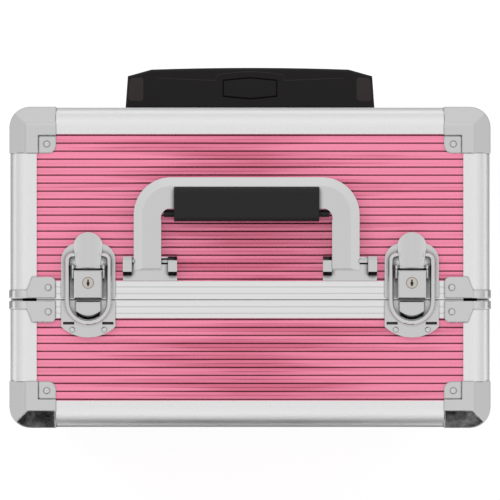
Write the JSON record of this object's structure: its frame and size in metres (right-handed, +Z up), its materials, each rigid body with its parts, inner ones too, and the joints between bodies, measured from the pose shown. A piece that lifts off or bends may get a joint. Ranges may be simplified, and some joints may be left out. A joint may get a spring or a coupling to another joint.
{
  "type": "rolling grooming case",
  "caption": "Wheeled case with a lid parted lengthwise into two hinged halves, swing-out trays, draw latches, a fold-down carry handle and a telescopic trolley.",
  "frame": {"origin": "middle of the whole footprint, trolley grip included, at floor level", "axes": "+X to the right of a user who faces the front, +Y towards the trolley at the back, +Z up"},
  "size_m": [0.362, 0.2718, 0.3835],
  "materials": {
    "board": "fibreboard",
    "lining": "black velour",
    "ribbed_sheet": "pink, ribbed, glossy",
    "plain_sheet": "black, smooth",
    "rail": "satin drawn",
    "bright_metal": "polished",
    "steel": "zinc plated",
    "key_plug": "nickel plated",
    "soft_grip": "matt black",
    "gloss_black": "glossy black",
    "moulding": "matt black",
    "tray_plastic": "matt black",
    "tube": "satin",
    "wheel_hub": "dark grey",
    "tyre": "solid black",
    "foot_rubber": "matt black"
  },
  "bodies": {
    "base": {"base_board": "board", "base_lining": "lining", "base_wall_panels": "ribbed_sheet", "base_bottom_panel": "plain_sheet", "base_edge_rails": "rail", "base_rim_rail": "rail", "base_corner_caps": "bright_metal", "front_feet": "foot_rubber", "wheel_housings": "moulding", "wheel_axles": "steel", "hinge_base_leaves": "steel", "trolley_tubes_fixed": "tube", "trolley_brackets": "moulding"},
    "rear_lid": {"rear_lid_board": "board", "rear_lid_top_panel": "ribbed_sheet", "rear_lid_wall_panels": "ribbed_sheet", "rear_lid_rails": "rail", "rear_lid_parting_rails": "rail", "rear_lid_corner_fittings": "bright_metal", "rear_lid_lining": "lining", "rear_hinge_lid_leaf": "steel", "handle_brackets": "bright_metal", "handle_pins": "bright_metal", "latch_bodies": "bright_metal"},
    "front_lid": {"front_lid_board": "board", "front_lid_top_panel": "ribbed_sheet", "front_lid_wall_panels": "ribbed_sheet", "front_lid_rails": "rail", "front_lid_parting_rails": "rail", "front_lid_corner_fittings": "bright_metal", "front_lid_lining": "lining", "front_hinge_lid_leaf": "steel", "latch_catch_plates": "bright_metal"},
    "carry_handle": {"carry_handle_frame": "bright_metal", "carry_handle_grip": "soft_grip"},
    "trolley_stage_1": {"trolley_tubes_stage_1": "tube"},
    "trolley_stage_2": {"trolley_tubes_stage_2": "tube"},
    "trolley_stage_3": {"trolley_tubes_stage_3": "tube", "trolley_grip": "gloss_black"},
    "trolley_button": {"trolley_button": "gloss_black"},
    "rear_arm_inner": {"rear_tray_arms_inner": "steel"},
    "rear_arm_outer": {"rear_tray_arms_outer": "steel"},
    "rear_tray_lower": {"rear_tray_lower": "tray_plastic"},
    "rear_tray_upper": {"rear_tray_upper": "tray_plastic"},
    "front_arm_inner": {"front_tray_arms_inner": "steel"},
    "front_arm_outer": {"front_tray_arms_outer": "steel"},
    "front_tray_lower": {"front_tray_lower": "tray_plastic"},
    "front_tray_upper": {"front_tray_upper": "tray_plastic"},
    "left_lever": {"left_latch_lever": "bright_metal"},
    "left_bail": {"left_latch_bail": "bright_metal"},
    "left_plug": {"left_latch_lock_plug": "key_plug"},
    "left_wheel": {"left_wheel_hub": "wheel_hub", "left_wheel_tyre": "tyre"},
    "right_lever": {"right_latch_lever": "bright_metal"},
    "right_bail": {"right_latch_bail": "bright_metal"},
    "right_plug": {"right_latch_lock_plug": "key_plug"},
    "right_wheel": {"right_wheel_hub": "wheel_hub", "right_wheel_tyre": "tyre"}
  },
  "joints": [
    {"name": "rear_lid_hinge", "type": "hinge", "parent": "base", "child": "rear_lid", "pos_m": [0, 0.1015, 0.292], "axis": [1, 0, 0], "range_deg": [-110, 0]},
    {"name": "front_lid_hinge", "type": "hinge", "parent": "base", "child": "front_lid", "pos_m": [0, -0.1321, 0.292], "axis": [1, 0, 0], "range_deg": [0, 110]},
    {"name": "rear_arm_outer_pivot", "type": "hinge", "parent": "base", "child": "rear_arm_outer", "pos_m": [0, 0.0697, 0.276], "axis": [1, 0, 0], "range_deg": [-60, 0]},
    {"name": "rear_arm_inner_pivot", "type": "hinge", "parent": "base", "child": "rear_arm_inner", "pos_m": [0, 0.0197, 0.276], "axis": [1, 0, 0], "range_deg": [-60, 0]},
    {"name": "rear_tray_lower_pivot", "type": "hinge", "parent": "rear_arm_inner", "child": "rear_tray_lower", "pos_m": [0, -0.00044, 0.3], "axis": [1, 0, 0], "range_deg": [0, 60]},
    {"name": "rear_tray_upper_pivot", "type": "hinge", "parent": "rear_arm_inner", "child": "rear_tray_upper", "pos_m": [0, -0.02142, 0.325], "axis": [1, 0, 0], "range_deg": [0, 60]},
    {"name": "front_arm_outer_pivot", "type": "hinge", "parent": "base", "child": "front_arm_outer", "pos_m": [0, -0.1093, 0.276], "axis": [1, 0, 0], "range_deg": [0, 60]},
    {"name": "front_arm_inner_pivot", "type": "hinge", "parent": "base", "child": "front_arm_inner", "pos_m": [0, -0.0933, 0.276], "axis": [1, 0, 0], "range_deg": [0, 60]},
    {"name": "front_tray_lower_pivot", "type": "hinge", "parent": "front_arm_inner", "child": "front_tray_lower", "pos_m": [0, -0.07316, 0.3], "axis": [1, 0, 0], "range_deg": [-60, 0]},
    {"name": "front_tray_upper_pivot", "type": "hinge", "parent": "front_arm_inner", "child": "front_tray_upper", "pos_m": [0, -0.05218, 0.325], "axis": [1, 0, 0], "range_deg": [-60, 0]},
    {"name": "carry_handle_pivot", "type": "hinge", "parent": "rear_lid", "child": "carry_handle", "pos_m": [-0.0025, -0.0108, 0.3755], "axis": [1, 0, 0], "range_deg": [0, 95]},
    {"name": "left_latch_lever_pivot", "type": "hinge", "parent": "rear_lid", "child": "left_lever", "pos_m": [-0.1213, -0.0153, 0.3732], "axis": [1, 0, 0], "range_deg": [0, 90]},
    {"name": "left_latch_bail_pivot", "type": "hinge", "parent": "left_lever", "child": "left_bail", "pos_m": [-0.1213, -0.0059, 0.3718], "axis": [1, 0, 0], "range_deg": [-108, 0]},
    {"name": "left_lock_plug_turn", "type": "hinge", "parent": "rear_lid", "child": "left_plug", "pos_m": [-0.1213, -0.0269, 0.3764], "axis": [0, 0, 1], "range_deg": [0, 90]},
    {"name": "left_wheel_axle", "type": "hinge", "parent": "base", "child": "left_wheel", "pos_m": [-0.16, 0.0787, 0.025], "axis": [1, 0, 0], "continuous": true},
    {"name": "right_latch_lever_pivot", "type": "hinge", "parent": "rear_lid", "child": "right_lever", "pos_m": [0.1213, -0.0153, 0.3732], "axis": [1, 0, 0], "range_deg": [0, 90]},
    {"name": "right_latch_bail_pivot", "type": "hinge", "parent": "right_lever", "child": "right_bail", "pos_m": [0.1213, -0.0059, 0.3718], "axis": [1, 0, 0], "range_deg": [-108, 0]},
    {"name": "right_lock_plug_turn", "type": "hinge", "parent": "rear_lid", "child": "right_plug", "pos_m": [0.1213, -0.0269, 0.3764], "axis": [0, 0, 1], "range_deg": [0, 90]},
    {"name": "right_wheel_axle", "type": "hinge", "parent": "base", "child": "right_wheel", "pos_m": [0.16, 0.0787, 0.025], "axis": [1, 0, 0], "continuous": true},
    {"name": "trolley_slide_1", "type": "slide", "parent": "base", "child": "trolley_stage_1", "axis": [0, 0, 1], "range_m": [0, 0.14]},
    {"name": "trolley_slide_2", "type": "slide", "parent": "trolley_stage_1", "child": "trolley_stage_2", "axis": [0, 0, 1], "range_m": [0, 0.14]},
    {"name": "trolley_slide_3", "type": "slide", "parent": "trolley_stage_2", "child": "trolley_stage_3", "axis": [0, 0, 1], "range_m": [0, 0.14]},
    {"name": "trolley_button_push", "type": "slide", "parent": "trolley_stage_3", "child": "trolley_button", "axis": [0, 0, 1], "range_m": [-0.003, 0], "stiffness_N_per_m": 300, "springref_m": 0.001}
  ],
  "couplings": [
    {"joint": "front_lid_hinge", "follows": "rear_lid_hinge", "ratio": -1},
    {"joint": "rear_arm_outer_pivot", "follows": "rear_lid_hinge", "ratio": 0.54545},
    {"joint": "rear_arm_inner_pivot", "follows": "rear_lid_hinge", "ratio": 0.54545},
    {"joint": "front_arm_outer_pivot", "follows": "rear_lid_hinge", "ratio": -0.54545},
    {"joint": "front_arm_inner_pivot", "follows": "rear_lid_hinge", "ratio": -0.54545},
    {"joint": "rear_tray_lower_pivot", "follows": "rear_lid_hinge", "ratio": -0.54545},
    {"joint": "rear_tray_upper_pivot", "follows": "rear_lid_hinge", "ratio": -0.54545},
    {"joint": "front_tray_lower_pivot", "follows": "rear_lid_hinge", "ratio": 0.54545},
    {"joint": "front_tray_upper_pivot", "follows": "rear_lid_hinge", "ratio": 0.54545},
    {"joint": "left_latch_bail_pivot", "follows": "left_latch_lever_pivot", "ratio": -1.2},
    {"joint": "right_latch_bail_pivot", "follows": "right_latch_lever_pivot", "ratio": -1.2}
  ]
}
